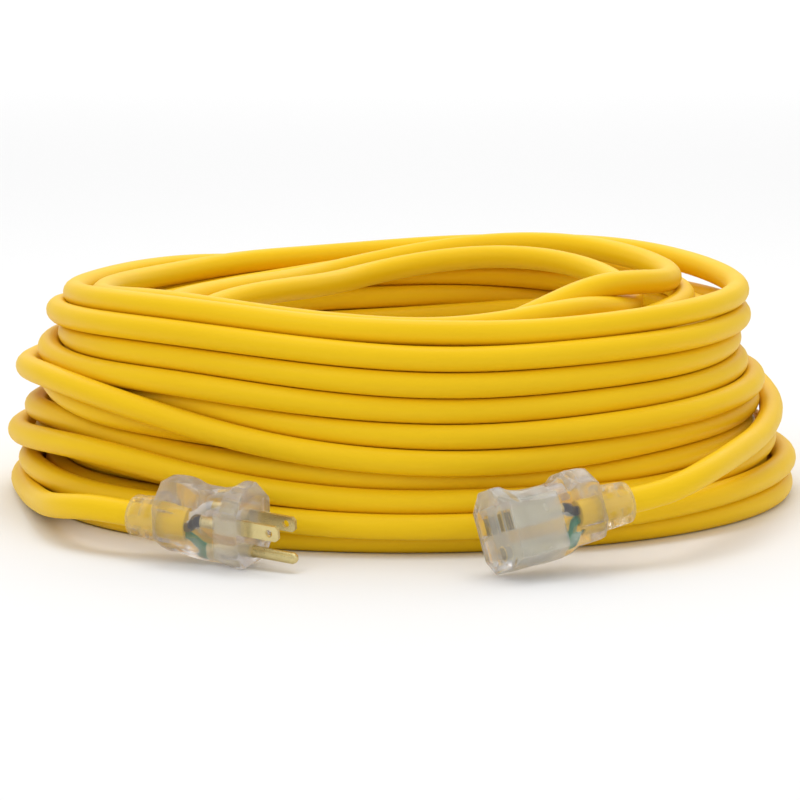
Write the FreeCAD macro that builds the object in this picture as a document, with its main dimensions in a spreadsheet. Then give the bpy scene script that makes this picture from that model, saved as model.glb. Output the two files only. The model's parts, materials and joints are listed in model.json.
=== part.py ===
import FreeCAD, Part
import Sketcher
import math
import os

# Coiled outdoor extension cord with a clear moulded plug and a clear moulded connector.
# Millimetres and degrees. +Z is up, the floor is Z = 0 and the origin lies on the floor
# under the middle of the whole part's box.

doc = FreeCAD.newDocument("ExtensionCord")
Vector = FreeCAD.Vector
Rotation = FreeCAD.Rotation
Placement = FreeCAD.Placement

# ---------------------------------------------------------------------------
# Driving dimensions
# ---------------------------------------------------------------------------
SIZES = {
    # the cord and its three conductors
    "cord_diameter": 10.7,
    "wire_diameter": 3.8,
    "strand_diameter": 2.2,
    "cord_straight": 19.0,
    # the wound coil
    "coil_x": 0.0,
    "coil_y": 28.0,
    "coil_height": 104.0,
    "coil_foot_radius": 178.0,
    "coil_foot_height": 46.0,
    "coil_top_radius": 159.0,
    "coil_inner_radius": 112.0,
    "coil_edge_round": 6.0,
    # where each moulded end lies, from the coil's centre
    "plug_x": -59.4,
    "plug_y": -199.0,
    "plug_z": 18.8,
    "plug_yaw": -31.0,
    "plug_pitch": 3.5,
    "plug_roll": 9.5,
    "connector_x": 36.5,
    "connector_y": -219.0,
    "connector_z": 21.4,
    "connector_yaw": 208.0,
    "connector_pitch": 7.5,
    "connector_roll": 18.0,
    # blades and ground pin, a standard 15 A grounded pattern
    "blade_spacing": 12.7,
    "blade_height": 6.35,
    "blade_thickness": 1.5,
    "blade_length": 16.3,
    "blade_hole_place": 11.9,
    "blade_hole_diameter": 3.2,
    "blade_tip_chamfer": 1.4,
    "ground_drop": 11.9,
    "ground_diameter": 4.76,
    "ground_length": 20.5,
    "ground_shank_diameter": 5.4,
    # plug moulding
    "plug_length": 42.0,
    "plug_width": 27.0,
    "plug_top": 16.5,
    "plug_bottom": 17.5,
    "plug_flat": 4.5,
    "plug_shoulder": 9.0,
    "plug_chamfer": 5.5,
    "plug_flange": 6.5,
    "plug_rear_flange": 11.0,
    "plug_grip_depth": 4.0,
    "plug_rear_drop": 2.5,
    "plug_step": 2.4,
    "plug_wall": 3.0,
    "plug_cord_drop": 5.5,
    "plug_jacket_depth": 12.0,
    "plug_wiring_room": 17.0,
    "plug_neck_length": 20.0,
    # connector moulding
    "connector_length": 46.0,
    "connector_width": 28.0,
    "connector_top": 14.5,
    "connector_bottom": 19.5,
    "connector_flat": 5.0,
    "connector_shoulder": 7.0,
    "connector_chamfer": 6.0,
    "connector_flange": 6.0,
    "connector_rear_flange": 10.0,
    "connector_grip_depth": 3.2,
    "connector_rear_drop": 0.8,
    "connector_step": 2.0,
    "connector_wall": 5.0,
    "connector_cord_drop": 3.5,
    "connector_jacket_depth": 8.0,
    "connector_wiring_room": 11.0,
    "connector_neck_length": 18.0,
    # shared by both mouldings
    "grip_run": 4.0,
    "lip_run": 2.0,
    "rear_bevel": 2.5,
    "rear_bevel_rise": 4.0,
    # strain reliefs
    "neck_wall": 3.05,
    "neck_tip_wall": 1.45,
    "neck_socket": 6.0,
    "neck_ring_width": 2.4,
    "neck_ring_depth": 0.9,
    # plug insert and blade tails
    "carrier_width": 19.0,
    "carrier_top": 5.5,
    "carrier_bottom": 14.9,
    "crimp_length": 7.0,
    "crimp_floor": 1.0,
    "crimp_wall": 0.7,
    # connector insert and contacts
    "core_width": 21.0,
    "core_top": 7.5,
    "core_bottom": 15.6,
    "slot_height": 7.2,
    "slot_width": 2.0,
    "ground_hole_diameter": 5.2,
    "contact_recess": 5.0,
    "contact_leaf": 0.8,
    "contact_gap": 1.8,
    "contact_web": 1.0,
    "sleeve_wall": 0.6,
    # indicator
    "lamp_diameter": 4.6,
    "lamp_length": 9.0,
    "lamp_setback": 2.0,
    "resistor_diameter": 2.0,
    "resistor_length": 6.0,
    "resistor_setback": 3.0,
    # clearances
    "fit_gap": 0.1,
    "cord_gap": 0.2,
    # how far a cutting sketch stands clear of what it cuts
    "overcut": 1.0,
}

sheet = doc.addObject("Spreadsheet::Sheet", "Sizes")
for row, (alias, number) in enumerate(SIZES.items(), start=1):
    cell = "B%d" % row
    sheet.set("A%d" % row, "'" + alias)
    sheet.set(cell, repr(number))
    sheet.setAlias(cell, alias)
doc.recompute()

SUBPARTS = {}
ZERO = 1e-9


def size(expression):
    """Value of an expression written with the sheet's aliases."""
    return float(sheet.evalExpression(linked(expression)))


def linked(expression):
    """The same expression with each alias pointed at the sheet."""
    words = expression.replace("(", " ( ").replace(")", " ) ").split()
    return " ".join("Sizes." + word if word in SIZES else word for word in words)


def keep(node, shape_object):
    """Name an object after its node and add it to the sub-parts that are written."""
    shape_object.Label = node
    SUBPARTS[node] = shape_object
    return shape_object


# ---------------------------------------------------------------------------
# Sketch and feature helpers
# ---------------------------------------------------------------------------
def new_body(node):
    """An empty body for one sub-part."""
    return keep(node, doc.addObject("PartDesign::Body", node))


def origin_plane(body, role):
    """One of the body's own origin planes."""
    for feature in body.Origin.OriginFeatures:
        if feature.Role == role:
            return feature
    raise RuntimeError("no plane " + role)


def new_sketch(body, name, role, offset="0"):
    """A sketch on an origin plane, moved along the plane's normal by an expression."""
    sketch = body.newObject("Sketcher::SketchObject", name)
    sketch.AttachmentSupport = [(origin_plane(body, role), "")]
    sketch.MapMode = "FlatFace"
    sketch.AttachmentOffset = Placement(Vector(0, 0, size(offset)), Rotation())
    sketch.setExpression("AttachmentOffset.Base.z", linked(offset))
    return sketch


def pin_point(sketch, line, end, across, up):
    """Tie one end of a line to the sketch's origin at (across, up), two expressions."""
    for kind, expression in (("DistanceX", across), ("DistanceY", up)):
        number = size(expression)
        if abs(number) < ZERO:
            sketch.addConstraint(Sketcher.Constraint(kind, -1, 1, line, end, 0.0))
        elif number > 0:
            index = sketch.addConstraint(Sketcher.Constraint(kind, -1, 1, line, end, number))
            sketch.setExpression("Constraints[%d]" % index, linked(expression))
        else:
            index = sketch.addConstraint(Sketcher.Constraint(kind, line, end, -1, 1, -number))
            sketch.setExpression("Constraints[%d]" % index, linked("-1 * ( " + expression + " )"))


def polygon(sketch, corners):
    """A closed outline through corners, each a pair of expressions."""
    places = [Vector(size(across), size(up), 0) for across, up in corners]
    first = sketch.GeometryCount
    count = len(places)
    for i, place in enumerate(places):
        sketch.addGeometry(Part.LineSegment(place, places[(i + 1) % count]), False)
    for i in range(count):
        sketch.addConstraint(Sketcher.Constraint("Coincident", first + i, 2, first + (i + 1) % count, 1))
    for i, (across, up) in enumerate(corners):
        pin_point(sketch, first + i, 1, across, up)


def rectangle(sketch, left, right, low, high):
    """A closed rectangle between four expressions."""
    polygon(sketch, [(left, low), (right, low), (right, high), (left, high)])


def circle(sketch, across, up, radius):
    """A circle whose centre and radius are expressions."""
    centre = Vector(size(across), size(up), 0)
    index = sketch.addGeometry(Part.Circle(centre, Vector(0, 0, 1), size(radius)), False)
    pin_point(sketch, index, 3, across, up)
    constraint = sketch.addConstraint(Sketcher.Constraint("Radius", index, size(radius)))
    sketch.setExpression("Constraints[%d]" % constraint, linked(radius))


def pad(body, sketch, length, symmetric=False, backwards=False):
    """Material added along the sketch's normal."""
    feature = body.newObject("PartDesign::Pad", sketch.Name + "Pad")
    feature.Profile = sketch
    feature.Length = size(length)
    feature.setExpression("Length", linked(length))
    feature.SideType = "Symmetric" if symmetric else "One side"
    feature.Reversed = backwards
    sketch.Visibility = False
    return feature


def cut(body, sketch, length=None):
    """Material removed against the sketch's normal, right through when no length is given."""
    doc.recompute()
    before = body.Shape.Volume
    feature = body.newObject("PartDesign::Pocket", sketch.Name + "Cut")
    feature.Profile = sketch
    if length is None:
        feature.Type = "ThroughAll"
    else:
        feature.Type = "Length"
        feature.Length = size(length)
        feature.setExpression("Length", linked(length))
    doc.recompute()
    if body.Shape.Volume > before - ZERO:
        raise RuntimeError(body.Label + ": " + sketch.Name + " removes nothing")
    return feature


# ---------------------------------------------------------------------------
# Frames of the two moulded ends
# ---------------------------------------------------------------------------
# Each end is drawn in its own frame: +X points out of its front face, +Z points away from
# the ground side, and the origin lies on the front face, midway between the two blades.
def end_frame(end):
    """Placement of one moulded end."""
    base = Vector(size("coil_x + %s_x" % end), size("coil_y + %s_y" % end), size(end + "_z"))
    turn = Rotation(size(end + "_yaw"), size(end + "_pitch"), size(end + "_roll"))
    return Placement(base, turn)


FRAMES = {"plug": end_frame("plug"), "connector": end_frame("connector")}


def shifted(end, y="0", z="0"):
    """The frame of one end, moved sideways and up in its own directions."""
    return FRAMES[end].multiply(Placement(Vector(0, size(y), size(z)), Rotation()))


# ---------------------------------------------------------------------------
# Clear mouldings
# ---------------------------------------------------------------------------
GRIP_SLOPE_SHARE = 0.75


def moulding(end, cavity_length, cavity_half, cavity_low, cavity_high):
    """Flanged grip body with a cavity behind its front wall and a bore for the cord."""
    body = new_body(end + "_body")
    side = new_sketch(body, end + "Side", "XZ_Plane")
    grip_end = "( {0}_length - {0}_rear_flange )"
    slope = "{0}_top - {0}_grip_depth * %s" % GRIP_SLOPE_SHARE
    rear_top = "{0}_top - {0}_rear_drop"
    rear_low = "-1 * {0}_bottom + {0}_step"
    corners = [
        ("0", "-1 * {0}_bottom"),
        ("0", "{0}_top"),
        ("-1 * {0}_flange", "{0}_top"),
        ("-1 * {0}_flange - grip_run", slope),
        ("-1 * ( {0}_flange + " + grip_end + " ) / 2", "{0}_top - {0}_grip_depth"),
        ("-1 * " + grip_end + " + grip_run", slope),
        ("-1 * " + grip_end, rear_top),
        ("-1 * {0}_length + rear_bevel", rear_top),
        ("-1 * {0}_length", rear_top + " - rear_bevel_rise"),
        ("-1 * {0}_length", rear_low + " + rear_bevel_rise"),
        ("-1 * {0}_length + rear_bevel", rear_low),
        ("-1 * " + grip_end, rear_low),
        ("-1 * " + grip_end + " + lip_run", "-1 * {0}_bottom"),
    ]
    polygon(side, [(a.format(end), b.format(end)) for a, b in corners])
    pad(body, side, end + "_width", symmetric=True)

    section = new_sketch(body, end + "Corners", "YZ_Plane", "overcut")
    for sign in ("1", "-1"):
        outer = sign + " * ( {0}_width / 2 + overcut )"
        edge = sign + " * {0}_width / 2"
        upper = [
            (sign + " * {0}_flat", "{0}_top"),
            (edge, "{0}_top - {0}_shoulder"),
            (outer, "{0}_top - {0}_shoulder"),
            (outer, "{0}_top + overcut"),
            (sign + " * {0}_flat", "{0}_top + overcut"),
        ]
        lower = [
            (sign + " * ( {0}_width / 2 - {0}_chamfer )", "-1 * {0}_bottom"),
            (edge, "-1 * {0}_bottom + {0}_chamfer"),
            (outer, "-1 * {0}_bottom + {0}_chamfer"),
            (outer, "-1 * {0}_bottom - overcut"),
            (sign + " * ( {0}_width / 2 - {0}_chamfer )", "-1 * {0}_bottom - overcut"),
        ]
        for outline in (upper, lower):
            polygon(section, [(a.format(end), b.format(end)) for a, b in outline])
    cut(body, section)

    cavity = new_sketch(body, end + "Cavity", "YZ_Plane", "-1 * %s_wall" % end)
    rectangle(cavity, "-1 * " + cavity_half, cavity_half, cavity_low, cavity_high)
    cut(body, cavity, cavity_length)

    bore = new_sketch(body, end + "Bore", "YZ_Plane", "-1 * %s_wall" % end)
    circle(bore, "0", "-1 * %s_cord_drop" % end, "cord_diameter / 2 + cord_gap")
    cut(body, bore)

    socket = new_sketch(body, end + "Socket", "YZ_Plane", "-1 * ( %s_length - neck_socket )" % end)
    circle(socket, "0", "-1 * %s_cord_drop" % end, NECK_RADIUS + " + fit_gap")
    cut(body, socket)
    return body


NECK_RADIUS = "( cord_diameter / 2 + neck_wall )"
NECK_TIP_RADIUS = "( cord_diameter / 2 + neck_tip_wall )"
NECK_RINGS = 3


def strain_relief(end):
    """Tapered, ringed sleeve around the cord at the rear of a moulding."""
    neck = new_body(end + "_strain_relief")
    outline = new_sketch(neck, end + "Neck", "XZ_Plane")
    # drawn about the cord's axis: lengths run to the rear, heights are radii
    front = "-1 * ( %s_length - neck_socket )" % end
    face = "-1 * %s_length" % end
    rear = "-1 * ( {0}_length + {0}_neck_length )".format(end)
    ring = "( %s_neck_length - neck_ring_width ) / %d" % (end, NECK_RINGS)
    inner = "cord_diameter / 2 + cord_gap"
    corners = [(front, inner), (front, NECK_RADIUS), (face, NECK_RADIUS)]
    for step in range(1, NECK_RINGS):
        start = "%s - %d * %s + neck_ring_width / 2" % (face, step, ring)
        stop = "%s - %d * %s - neck_ring_width / 2" % (face, step, ring)
        top = "{0} - ( {0} - {1} ) * {2} / {3}".format(NECK_RADIUS, NECK_TIP_RADIUS, step, NECK_RINGS)
        corners += [(start, top), (start, top + " - neck_ring_depth")]
        corners += [(stop, top + " - neck_ring_depth"), (stop, top)]
    corners += [(rear, NECK_TIP_RADIUS), (rear, inner)]
    polygon(outline, corners)
    turned = neck.newObject("PartDesign::Revolution", end + "NeckTurn")
    turned.Profile = outline
    turned.ReferenceAxis = (outline, ["H_Axis"])
    turned.Angle = 360
    neck.Placement = shifted(end, z="-1 * %s_cord_drop" % end)
    return neck


def jacket_end(end):
    """Straight stretch of the cord inside a moulding, as far as the stripped end."""
    piece = new_body(end + "_jacket_end")
    disc = new_sketch(piece, end + "Jacket", "YZ_Plane",
                      "-1 * ( {0}_length - {0}_jacket_depth )".format(end))
    circle(disc, "0", "0", "cord_diameter / 2")
    pad(piece, disc, "{0}_jacket_depth + {0}_neck_length".format(end), backwards=True)
    piece.Placement = shifted(end, z="-1 * %s_cord_drop" % end)
    return piece


# ---------------------------------------------------------------------------
# Plug: blades, ground pin and their carrier
# ---------------------------------------------------------------------------
CRIMP_RADIUS = "( strand_diameter / 2 + fit_gap / 2 + crimp_wall )"
CRIMP_BORE = "( strand_diameter / 2 + fit_gap / 2 )"
CARRIER_LENGTH = "( plug_length - plug_wall - plug_wiring_room - plug_jacket_depth )"
TAIL_END = "( plug_wall + " + CARRIER_LENGTH + " )"


def crimp(body, name, start):
    """Tube that holds the bare strands, running to the rear from a plane at -start."""
    outside = new_sketch(body, name + "Crimp", "YZ_Plane", "-1 * " + start)
    circle(outside, "0", "0", CRIMP_RADIUS)
    pad(body, outside, "crimp_length", backwards=True)
    inside = new_sketch(body, name + "CrimpBore", "YZ_Plane", "-1 * ( " + start + " + crimp_floor )")
    circle(inside, "0", "0", CRIMP_BORE)
    cut(body, inside)


def blade(node, side):
    """Flat blade with a chamfered tip, a detent hole and a crimped tail."""
    body = new_body(node)
    outline = new_sketch(body, node + "Outline", "XZ_Plane")
    half = "blade_height / 2"
    polygon(outline, [
        ("-1 * " + TAIL_END, "-1 * " + half),
        ("blade_length - blade_tip_chamfer", "-1 * " + half),
        ("blade_length", "-1 * ( blade_height / 2 - blade_tip_chamfer )"),
        ("blade_length", "blade_height / 2 - blade_tip_chamfer"),
        ("blade_length - blade_tip_chamfer", half),
        ("-1 * " + TAIL_END, half),
    ])
    pad(body, outline, "blade_thickness", symmetric=True)
    crimp(body, node, TAIL_END)
    hole = doc.addObject("Part::Cylinder", node + "Hole")
    hole.setExpression("Radius", linked("blade_hole_diameter / 2"))
    hole.setExpression("Height", linked("blade_thickness * 3"))
    hole.Placement = Placement(Vector(0, 0, 0), Rotation(Vector(1, 0, 0), -90))
    hole.setExpression("Placement.Base.x", linked("blade_hole_place"))
    hole.setExpression("Placement.Base.y", linked("-1.5 * blade_thickness"))
    drilled = doc.addObject("Part::Cut", node + "Drilled")
    drilled.Base = body
    drilled.Tool = hole
    body.Label = node + "_blank"
    keep(node, drilled)
    drilled.Placement = shifted("plug", y=side + " * blade_spacing / 2")
    return drilled


# Domed tip of the ground pin: setback from the tip and radius, as shares of its diameter.
PIN_TIP = [(0.0, 0.2), (0.12, 0.36), (0.38, 0.5)]


def ground_pin():
    """Round pin with a domed tip, a thicker shank inside the moulding and a crimped tail."""
    body = new_body("plug_ground_pin")
    outline = new_sketch(body, "PinOutline", "XZ_Plane")
    radius = "ground_diameter / 2"
    corners = [("-1 * " + TAIL_END, "0"), ("ground_length", "0")]
    for setback, reach in PIN_TIP:
        corners.append(("ground_length - ground_diameter * %s" % setback, "ground_diameter * %s" % reach))
    corners += [
        ("0", radius),
        ("0", "ground_shank_diameter / 2"),
        ("-1 * " + TAIL_END, "ground_shank_diameter / 2"),
    ]
    polygon(outline, corners)
    turned = body.newObject("PartDesign::Revolution", "PinTurn")
    turned.Profile = outline
    turned.ReferenceAxis = (outline, ["H_Axis"])
    turned.Angle = 360
    crimp(body, "Pin", TAIL_END)
    body.Placement = shifted("plug", z="-1 * ground_drop")
    return body


def blade_carrier():
    """Rigid block behind the plug's face that keeps the blades and the pin apart."""
    body = new_body("plug_blade_carrier")
    block = new_sketch(body, "CarrierBlock", "YZ_Plane", "-1 * plug_wall")
    rectangle(block, "-1 * carrier_width / 2", "carrier_width / 2", "-1 * carrier_bottom", "carrier_top")
    pad(body, block, CARRIER_LENGTH, backwards=True)
    openings = new_sketch(body, "CarrierOpenings", "YZ_Plane", "overcut - plug_wall")
    plug_openings(openings)
    cut(body, openings)
    body.Placement = FRAMES["plug"]
    return body


def plug_openings(sketch):
    """Outlines of the two blades and the pin, each with the fit gap around it."""
    for side in ("1", "-1"):
        inner = side + " * blade_spacing / 2 - blade_thickness / 2 - fit_gap"
        outer = side + " * blade_spacing / 2 + blade_thickness / 2 + fit_gap"
        rectangle(sketch, inner, outer, "-1 * blade_height / 2 - fit_gap", "blade_height / 2 + fit_gap")
    circle(sketch, "0", "-1 * ground_drop", "ground_shank_diameter / 2 + fit_gap")


# ---------------------------------------------------------------------------
# Connector: insert and contacts
# ---------------------------------------------------------------------------
def face_openings(sketch):
    """Outlines of the two blade slots and the ground hole."""
    for side in ("1", "-1"):
        inner = side + " * blade_spacing / 2 - slot_width / 2"
        outer = side + " * blade_spacing / 2 + slot_width / 2"
        rectangle(sketch, inner, outer, "-1 * slot_height / 2", "slot_height / 2")
    circle(sketch, "0", "-1 * ground_drop", "ground_hole_diameter / 2")


LEAF_OUT = "( contact_gap / 2 + contact_leaf )"
SLEEVE_OUT = "( ground_hole_diameter / 2 + sleeve_wall )"
CORE_LENGTH = "( connector_length - connector_wall - connector_wiring_room - connector_jacket_depth )"
CONTACT_LENGTH = "( " + CORE_LENGTH + " - contact_recess )"
CHAMBER_TOP = "( slot_height / 2 + contact_web )"
CONTACT_END = "( connector_wall + " + CONTACT_LENGTH + " )"


def connector_core():
    """Moulded insert with one chamber for each contact."""
    body = new_body("connector_core")
    block = new_sketch(body, "CoreBlock", "YZ_Plane", "-1 * connector_wall")
    rectangle(block, "-1 * core_width / 2", "core_width / 2", "-1 * core_bottom", "core_top")
    pad(body, block, CORE_LENGTH, backwards=True)
    chambers = new_sketch(body, "CoreChambers", "YZ_Plane", "overcut - connector_wall")
    for side in ("1", "-1"):
        inner = side + " * blade_spacing / 2 - " + LEAF_OUT + " - fit_gap"
        outer = side + " * blade_spacing / 2 + " + LEAF_OUT + " + fit_gap"
        rectangle(chambers, inner, outer, "-1 * slot_height / 2 - fit_gap", CHAMBER_TOP + " + fit_gap")
    circle(chambers, "0", "-1 * ground_drop", SLEEVE_OUT + " + fit_gap")
    cut(body, chambers)
    body.Placement = FRAMES["connector"]
    return body


def blade_contact(node, side):
    """Spring contact: two leaves under a web, with a crimped tail."""
    body = new_body(node)
    outline = new_sketch(body, node + "Outline", "YZ_Plane", "-1 * connector_wall")
    low = "-1 * slot_height / 2"
    gap = "contact_gap / 2"
    polygon(outline, [
        ("-1 * " + LEAF_OUT, low),
        ("-1 * " + gap, low),
        ("-1 * " + gap, "slot_height / 2"),
        (gap, "slot_height / 2"),
        (gap, low),
        (LEAF_OUT, low),
        (LEAF_OUT, CHAMBER_TOP),
        ("-1 * " + LEAF_OUT, CHAMBER_TOP),
    ])
    pad(body, outline, CONTACT_LENGTH + " - contact_web", backwards=True)
    end_wall = new_sketch(body, node + "EndWall", "YZ_Plane", "-1 * ( " + CONTACT_END + " - contact_web )")
    rectangle(end_wall, "-1 * " + LEAF_OUT, LEAF_OUT, low, CHAMBER_TOP)
    pad(body, end_wall, "contact_web", backwards=True)
    crimp(body, node, CONTACT_END)
    body.Placement = shifted("connector", y=side + " * blade_spacing / 2")
    return body


def ground_contact():
    """Closed sleeve that grips the ground pin, with a crimped tail."""
    body = new_body("connector_ground_contact")
    outside = new_sketch(body, "SleeveOutside", "YZ_Plane", "-1 * connector_wall")
    circle(outside, "0", "0", SLEEVE_OUT)
    pad(body, outside, CONTACT_LENGTH, backwards=True)
    inside = new_sketch(body, "SleeveInside", "YZ_Plane", "-1 * connector_wall")
    circle(inside, "0", "0", "ground_hole_diameter / 2")
    cut(body, inside, CONTACT_LENGTH + " - contact_web")
    crimp(body, "Sleeve", CONTACT_END)
    body.Placement = shifted("connector", z="-1 * ground_drop")
    return body


# ---------------------------------------------------------------------------
# Conductors
# ---------------------------------------------------------------------------
def swept_tube(path_edges, radius):
    """Solid round tube along a smooth path."""
    path = Part.Wire(path_edges)
    start = path_edges[0].valueAt(path_edges[0].FirstParameter)
    along = path_edges[0].tangentAt(path_edges[0].FirstParameter)
    ring = Part.Wire(Part.makeCircle(radius, start, along))
    tube = path.makePipeShell([ring], True, False)
    return tube.removeSplitter()


def s_bend(start, stop):
    """Two equal arcs that leave start along +X and reach stop along +X."""
    span = stop.x - start.x
    across = Vector(0, stop.y - start.y, stop.z - start.z)
    turn = 2 * math.atan2(across.Length, span)
    radius = span / (2 * math.sin(turn))
    side = Vector(across)
    side.normalize()
    middle = (start + stop) * 0.5
    edges = []
    for begin, end, sign in ((start, middle, 1), (middle, stop, -1)):
        centre = (begin if sign > 0 else end) + side * (sign * radius)
        quarter = turn / 2
        forward = Vector(math.sin(quarter) * radius, 0, 0)
        inward = side * (-sign * math.cos(quarter) * radius)
        if sign > 0:
            through = centre + forward + inward
        else:
            through = centre - forward + inward
        edges.append(Part.Arc(begin, through, end).toShape())
    return edges


def free_piece(node, shape, placement=None):
    """A sub-part whose shape is worked out here."""
    piece = doc.addObject("Part::Feature", node)
    piece.Shape = shape
    if placement is not None:
        piece.Placement = placement
    return keep(node, piece)


def wires(end, colours, rear, front):
    """Three insulated wires from the stripped cord to the crimps, and their bare strands.

    colours maps a colour to its (y, z) place at the crimps; rear and front are the X
    places of the wire's two ends."""
    wire = size("wire_diameter")
    spread = wire / math.sqrt(3) + size("fit_gap")
    drop = size(end + "_cord_drop")
    for colour, (y, z) in colours.items():
        degrees = 270 if y == 0 else 90 - math.copysign(60, y)
        angle = math.radians(degrees)
        begin = Vector(rear, spread * math.cos(angle), spread * math.sin(angle) - drop)
        finish = Vector(front, y, z)
        tube = swept_tube(s_bend(begin, finish), wire / 2)
        free_piece("%s_%s_wire" % (end, colour), tube, FRAMES[end])
        length = size("crimp_length - crimp_floor - fit_gap")
        strand = Part.makeCylinder(size("strand_diameter / 2"), length, finish, Vector(1, 0, 0))
        free_piece("%s_%s_strands" % (end, colour), strand, FRAMES[end])


# ---------------------------------------------------------------------------
# The cord
# ---------------------------------------------------------------------------
# Free stretches of the cord, from the coil's centre, as far as where the cord joins the
# coil. Each begins at the mouth of its strain relief and first runs straight out of it.
PLUG_ROUTE = [(-141.4, -140.2, 15.6), (-149.6, -117.5, 12.2), (-156.0, -88.3, 9.1),
              (-163.0, -56.0, 6.9), (-168.6, -24.0, 5.8)]
CONNECTOR_ROUTE = [(123.2, -166.6, 32.8), (134.6, -143.8, 35.0), (145.3, -115.5, 36.1),
                   (155.2, -85.0, 36.6), (162.0, -53.7, 37.8)]
CORNER_SHARE = 0.45
VOLUME_TOLERANCE = 0.005


def on_cord_axis(end, beyond):
    """Point on the cord's axis, a distance beyond the mouth of an end's strain relief."""
    rear = -size("{0}_length + {0}_neck_length".format(end)) - beyond
    return FRAMES[end].multVec(Vector(rear, 0, -size(end + "_cord_drop")))


def rounded_path(points, label):
    """Straight runs joined by tangent arcs, each as large as its two runs allow."""
    edges = []
    place = points[0]
    radii = []
    for before, corner, after in zip(points, points[1:], points[2:]):
        back = (before - corner).normalize()
        ahead = (after - corner).normalize()
        shorter = min(before.distanceToPoint(corner), after.distanceToPoint(corner))
        tangent = CORNER_SHARE * shorter
        half_turn = (math.pi - back.getAngle(ahead)) / 2
        radius = tangent / math.tan(half_turn)
        radii.append(round(radius, 1))
        enter = corner + back * tangent
        leave = corner + ahead * tangent
        bisector = (back + ahead).normalize()
        apex = corner + bisector * (radius / math.cos(half_turn) - radius)
        edges.append(Part.LineSegment(place, enter).toShape())
        edges.append(Part.Arc(enter, apex, leave).toShape())
        place = leave
    edges.append(Part.LineSegment(place, points[-1]).toShape())
    print(label, "bend radii", radii)
    return edges


def cord_lead(end, route):
    """Plain tube along a free stretch of the cord."""
    centre = Vector(size("coil_x"), size("coil_y"), 0)
    points = [on_cord_axis(end, 0), on_cord_axis(end, size("cord_straight"))]
    points += [centre + Vector(*place) for place in route]
    edges = rounded_path(points, end)
    radius = size("cord_diameter / 2")
    tube = swept_tube(edges, radius)
    length = sum(edge.Length for edge in edges)
    expected = math.pi * radius * radius * length
    if abs(tube.Volume / expected - 1) > VOLUME_TOLERANCE:
        raise RuntimeError(end + " lead: volume does not match its length")
    for point in points:
        print(end, "lead point", [round(v, 2) for v in point])
    print(end, "lead length", round(length, 1))
    free_piece(end + "_lead", tube)


def cord_coil():
    """Outer shape of the wound coil: a ring with a straight foot and a tapered top."""
    body = new_body("cord_coil")
    outline = new_sketch(body, "CoilSection", "XZ_Plane")
    polygon(outline, [
        ("coil_inner_radius", "coil_edge_round"),
        ("coil_inner_radius + coil_edge_round", "0"),
        ("coil_foot_radius - coil_edge_round", "0"),
        ("coil_foot_radius", "coil_edge_round"),
        ("coil_foot_radius", "coil_foot_height"),
        ("coil_top_radius", "coil_height - coil_edge_round"),
        ("coil_top_radius - coil_edge_round", "coil_height"),
        ("coil_inner_radius + coil_edge_round", "coil_height"),
        ("coil_inner_radius", "coil_height - coil_edge_round"),
    ])
    turned = body.newObject("PartDesign::Revolution", "CoilTurn")
    turned.Profile = outline
    turned.ReferenceAxis = (outline, ["V_Axis"])
    turned.Angle = 360
    body.Placement = Placement(Vector(size("coil_x"), size("coil_y"), 0), Rotation())
    return body


# ---------------------------------------------------------------------------
# Assembly
# ---------------------------------------------------------------------------
def build_plug():
    """Plug end: moulding, neck, blades, carrier, wires."""
    cavity = "plug_length - plug_jacket_depth - plug_wall"
    body = moulding("plug", cavity, "( carrier_width / 2 + fit_gap )", "-1 * carrier_bottom - fit_gap",
                    "carrier_top + fit_gap")
    openings = new_sketch(body, "PlugFace", "YZ_Plane", "overcut")
    plug_openings(openings)
    cut(body, openings, "plug_wall + overcut")
    body.Placement = FRAMES["plug"]
    strain_relief("plug")
    jacket_end("plug")
    blade("plug_hot_blade", "-1")
    blade("plug_neutral_blade", "1")
    ground_pin()
    blade_carrier()
    half = size("blade_spacing / 2")
    rear = -size("plug_length - plug_jacket_depth")
    front = -size(TAIL_END + " + crimp_length")
    places = {"black": (-half, 0), "white": (half, 0), "green": (0, -size("ground_drop"))}
    wires("plug", places, rear, front)


def indicator():
    """Small glow lamp and its resistor, lying under the roof of the connector's cavity."""
    rear = -size("connector_length - connector_jacket_depth")
    roof = size("core_top + fit_gap")
    lamp_radius = size("lamp_diameter / 2")
    lift = roof - lamp_radius - size("fit_gap")
    start = Vector(rear + size("lamp_setback"), 0, lift)
    lamp = Part.makeCylinder(lamp_radius, size("lamp_length"), start, Vector(1, 0, 0))
    free_piece("connector_lamp", lamp, FRAMES["connector"])
    small = size("resistor_diameter / 2")
    gap = size("fit_gap")
    beside = Vector(rear + size("resistor_setback"), -(lamp_radius + small + gap), roof - small - gap)
    resistor = Part.makeCylinder(small, size("resistor_length"), beside, Vector(1, 0, 0))
    free_piece("connector_resistor", resistor, FRAMES["connector"])


def build_connector():
    """Connector end: moulding, neck, insert, contacts, wires, indicator."""
    cavity = "connector_length - connector_jacket_depth - connector_wall"
    body = moulding("connector", cavity, "( core_width / 2 + fit_gap )", "-1 * core_bottom - fit_gap",
                    "core_top + fit_gap")
    openings = new_sketch(body, "ConnectorFace", "YZ_Plane", "overcut")
    face_openings(openings)
    cut(body, openings, "connector_wall + overcut")
    body.Placement = FRAMES["connector"]
    strain_relief("connector")
    jacket_end("connector")
    connector_core()
    blade_contact("connector_hot_contact", "1")
    blade_contact("connector_neutral_contact", "-1")
    ground_contact()
    half = size("blade_spacing / 2")
    rear = -size("connector_length - connector_jacket_depth")
    front = -size(CONTACT_END + " + crimp_length")
    places = {"black": (half, 0), "white": (-half, 0), "green": (0, -size("ground_drop"))}
    wires("connector", places, rear, front)
    indicator()


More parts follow.
